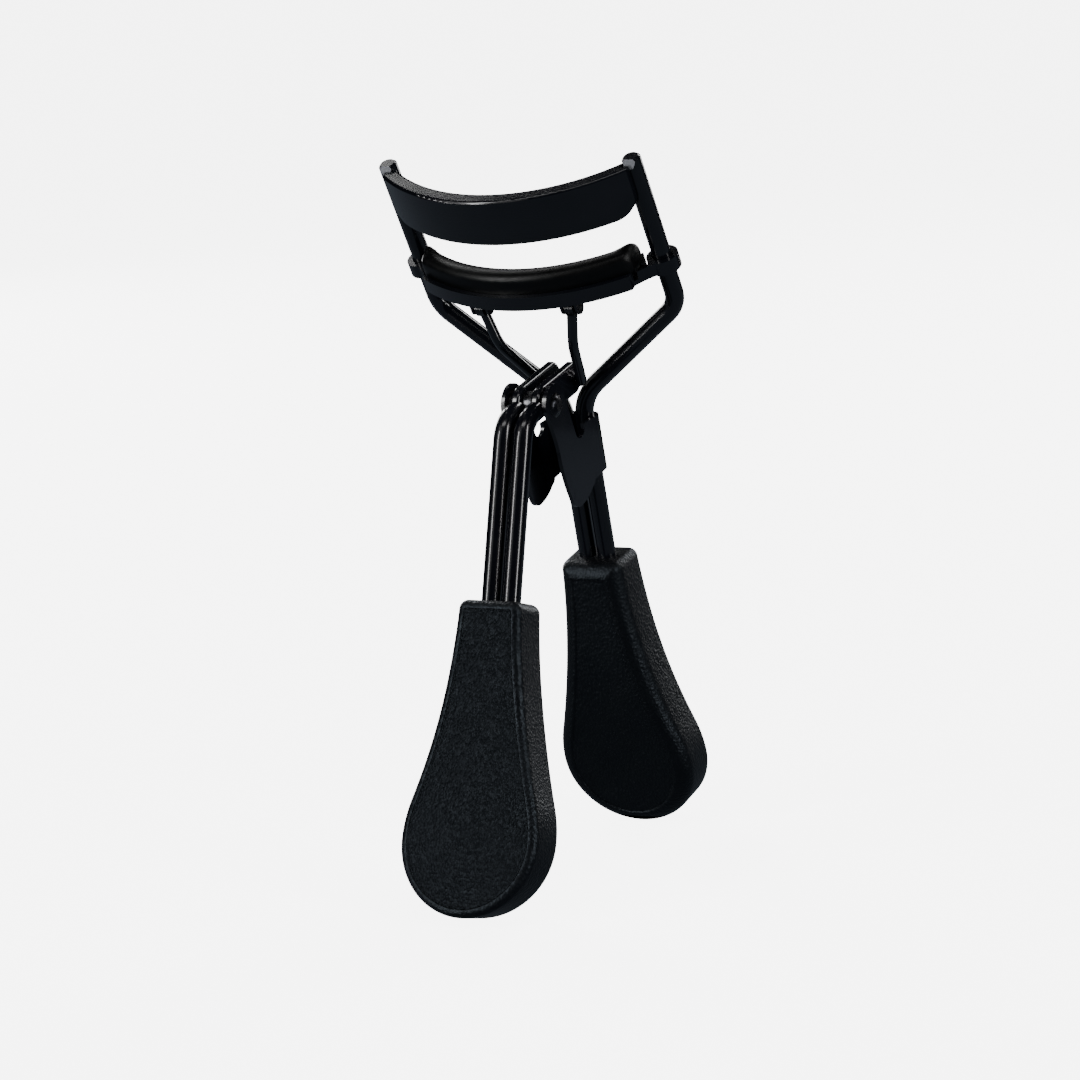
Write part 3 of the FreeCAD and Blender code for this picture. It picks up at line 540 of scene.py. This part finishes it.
class PaddleMesh:
    """Collects the points and faces of one closed piece that follows the paddle. Its side is
    -1 where the outer face looks towards -Y and 1 where it looks towards +Y."""

    def __init__(self, side):
        self.side = side
        self.points = []
        self.faces = []

    def place(self, across, down, offset):
        """Add a point: straight at the neck, then curving outward. Return its index."""
        bent = max(down - STRAIGHT, 0)
        away = BEND - math.sqrt((BEND - offset) ** 2 - bent ** 2)
        self.points.append((across, self.side * away, -down))
        return len(self.points) - 1

    def loop(self, margin, offset):
        """A closed ring at a margin and an offset: down the right side and up the left."""
        rows = paddle_rows(margin)
        right = [self.place(x, down, offset) for x, down in rows[:-1]]
        pole = [self.place(0, rows[-1][1], offset)]
        left = [self.place(-x, down, offset) for x, down in reversed(rows[:-1])]
        return right + pole + left

    def cap(self, ring, margin, offset, depth):
        """Fill a ring with rows of quads, lowered by the dish."""
        rows = paddle_rows(margin)
        count = len(rows) - 1
        grid = []
        for index in range(1, count):
            half, down = rows[index]
            line = [ring[len(ring) - 1 - index]]
            for column in range(1, COLUMNS):
                across = -half * math.cos(math.pi * column / COLUMNS)
                line.append(self.place(across, down, offset - dish(across, down, depth)))
            line.append(ring[index])
            grid.append(line)
        self.faces.append((ring[0], ring[-1], *grid[0]))
        for upper, lower in zip(grid, grid[1:]):
            for column in range(COLUMNS):
                self.faces.append(
                    (upper[column], upper[column + 1], lower[column + 1], lower[column]))
        pole = ring[count]
        for column in range(COLUMNS):
            self.faces.append((grid[-1][column], grid[-1][column + 1], pole))

    def join(self, rings):
        """Wall strips from each ring to the next."""
        for first, second in zip(rings, rings[1:]):
            self.faces += strip(first, second)


def edge_profile(radius):
    """Margins and offsets round a rounded edge, from the wall up to the face."""
    angles = [math.pi / 2 * step / EDGE_STEPS for step in range(EDGE_STEPS + 1)]
    return [(radius * (1 - math.cos(angle)), HALF_THICK - radius + radius * math.sin(angle))
            for angle in angles]


def paddle_shell(name, side, tilt, node, material):
    """The moulded paddle: rounded walls, a smooth inner face and a seat for the panel. Also
    returns the fit that brings it inside its node's box."""
    body = PaddleMesh(side)
    inner = [body.loop(margin, -offset) for margin, offset in edge_profile(INNER_EDGE)]
    outer = [body.loop(margin, offset) for margin, offset in edge_profile(OUTER_EDGE)]
    seat = [body.loop(SEAM, HALF_THICK - SEAT_LIP), body.loop(SEAM, HALF_THICK - SEAT_DEPTH)]
    body.join(inner[::-1] + outer + seat)
    body.cap(inner[-1], INNER_EDGE, -HALF_THICK, -INNER_HOLLOW)
    body.cap(seat[-1], SEAM, HALF_THICK - SEAT_DEPTH, 0)
    points = tilted(body.points, tilt)
    fit = fit_to_box(points, node)
    return add_piece(name, fitted(points, fit), body.faces, material), fit


def soft_panel(name, side, tilt, fit, material):
    """The grained panel that fills the seat, dished for the fingertip."""
    body = PaddleMesh(side)
    margin = SEAM + SEAM_GAP
    rings = [body.loop(margin, HALF_THICK - PANEL_DEPTH)]
    rings += [body.loop(margin + inside, HALF_THICK - below) for inside, below in PANEL_RIM]
    body.join(rings)
    body.cap(rings[0], margin, HALF_THICK - PANEL_DEPTH, 0)
    inside, below = PANEL_RIM[-1]
    body.cap(rings[-1], margin + inside, HALF_THICK - below, PANEL_DISH)
    return add_piece(name, fitted(tilted(body.points, tilt), fit), body.faces, material)


def add_grip(name, side, tilt, body, shell_material, panel_material):
    """One grip: its shell and its soft panel, riding on a body."""
    shell, fit = paddle_shell(f"{name}_shell", side, tilt, f"{name}_grip", shell_material)
    panel = soft_panel(f"{name}_panel", side, tilt, fit, panel_material)
    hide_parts(f"{name}_grip")
    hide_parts(f"{name}_grip_cover")
    for piece in (shell, panel):
        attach(piece, body)


# ---------------------------------------------------------------- rubber pad, in millimetres

ARC_CENTRE = 18.3
PAD_IN = 24.65
PAD_OUT = 27.45
PAD_FOOT = 6.85
PAD_TOP = 10.95
PAD_CROWN = 1.15
CROWN_POWER = 0.75
# The pad's ends: beyond the seat the foot clears the eyelets.
PAD_HALF = 15.7
PAD_SEATED = 15.2
PAD_LIFTED_FOOT = 8.0
PAD_END_ROUND = 1.0
END_NARROWING = 0.3
HUMP_LENGTH = 3.0
HUMP_FULL = 1.15
HUMP_RISE = 0.42
HUMP_POWER = 0.5
# The hump stands in the section's back half, behind the bar.
HUMP_FRONT = 0.15
HUMP_SLOPE = 1.6
CROWN_STEPS = 18
PAD_STATIONS = 96


def arc_sweep(profile, stations):
    """Sweep a closed section along the jaws' arc. profile(x) gives the (radius, height) points
    of the section that stands x across."""
    points, faces, rings = [], [], []
    for x in stations:
        ring = []
        for radius, height in profile(x):
            ring.append(len(points))
            points.append((x, ARC_CENTRE - math.sqrt(radius ** 2 - x ** 2), height))
        rings.append(ring)
    for first, second in zip(rings, rings[1:]):
        faces += strip(first, second)
    faces.append(tuple(rings[0]))
    faces.append(tuple(reversed(rings[-1])))
    return points, faces


def pad_profile(x):
    """The pad's section: straight sides and a crowned top, with a hump near the pad's ends."""
    near_end = max(0.0, (abs(x) - (PAD_HALF - HUMP_LENGTH)) / HUMP_LENGTH)
    swell = math.sin(math.pi * min(near_end * HUMP_FULL, 1.0) / 2) ** 2
    tip = max(0.0, (abs(x) - (PAD_HALF - PAD_END_ROUND)) / PAD_END_ROUND)
    drop = PAD_END_ROUND * (1 - math.sqrt(max(0.0, 1 - tip ** 2)))
    half = (PAD_OUT - PAD_IN) / 2 - END_NARROWING * drop
    middle = (PAD_OUT + PAD_IN) / 2
    shoulder = PAD_TOP - PAD_CROWN - drop
    foot = PAD_FOOT if abs(x) < PAD_SEATED else PAD_LIFTED_FOOT
    points = [(middle - half, foot), (middle - half, (foot + shoulder) / 2)]
    for step in range(CROWN_STEPS + 1):
        angle = math.pi * step / CROWN_STEPS
        across = -math.cos(angle)
        back = min(1.0, max(0.0, HUMP_FRONT - across) * HUMP_SLOPE)
        crown = PAD_CROWN * math.sin(angle) ** CROWN_POWER
        hump = HUMP_RISE * swell * back * math.sin(angle) ** HUMP_POWER
        points.append((middle + half * across, shoulder + (crown + hump)))
    points += [(middle + half, (foot + shoulder) / 2), (middle + half, foot)]
    return points


def add_pad(material):
    """The rubber pad, with its sections closer together towards its ends."""
    stations = [-PAD_HALF * math.cos(math.pi * step / PAD_STATIONS)
                for step in range(PAD_STATIONS + 1)]
    points, faces = arc_sweep(pad_profile, stations)
    points = [point + HEAD_ORIGIN for point in tilted(points, HEAD_LEAN)]
    pad = add_piece("rubber_pad", points, faces, material)
    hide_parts("curling_pad")
    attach(pad, "jaw")


# ---------------------------------------------------------------- the whole object

add_camera()
add_studio()
add_floor()

ENAMEL = enamel("black_enamel")
ENAMEL_WITH_GLINTING_TIPS = enamel("enamel_with_glinting_tips", tips=True)
STEEL = dark_steel()
RUBBER = rubber()
SHELL = grained_plastic("grip_plastic", ((0.0020, 0.0022, 0.0028), (0.0060, 0.0063, 0.0074)),
                        (0.38, 0.50), 0.36 * MM, 0.08 * MM)
PANEL = grained_plastic("soft_touch", ((0.0010, 0.0012, 0.0016), (0.0080, 0.0088, 0.0110)),
                        (0.44, 0.56), 0.34 * MM, 0.20 * MM)

SLOT_MATERIALS = {"black_metal": ENAMEL, "dark_steel": STEEL, "black_rubber": RUBBER,
                  "grip_shell": SHELL, "soft_panel": PANEL}
for subpart in frame["record"]["subparts"]:
    for slot in frame["nodes"][subpart["node"]].material_slots:
        slot.material = SLOT_MATERIALS[subpart["material_slot"]]
# The side rods get the enamel whose tip facets carry a painted reflection over exposed metal.
for side in ("left", "right"):
    for slot in frame["nodes"][f"frame_rod_{side}"].material_slots:
        slot.material = ENAMEL_WITH_GLINTING_TIPS

add_grip("front", -1, FRONT_TILT, "handle", SHELL, PANEL)
add_grip("rear", 1, REAR_TILT, "frame", SHELL, PANEL)
add_pad(RUBBER)
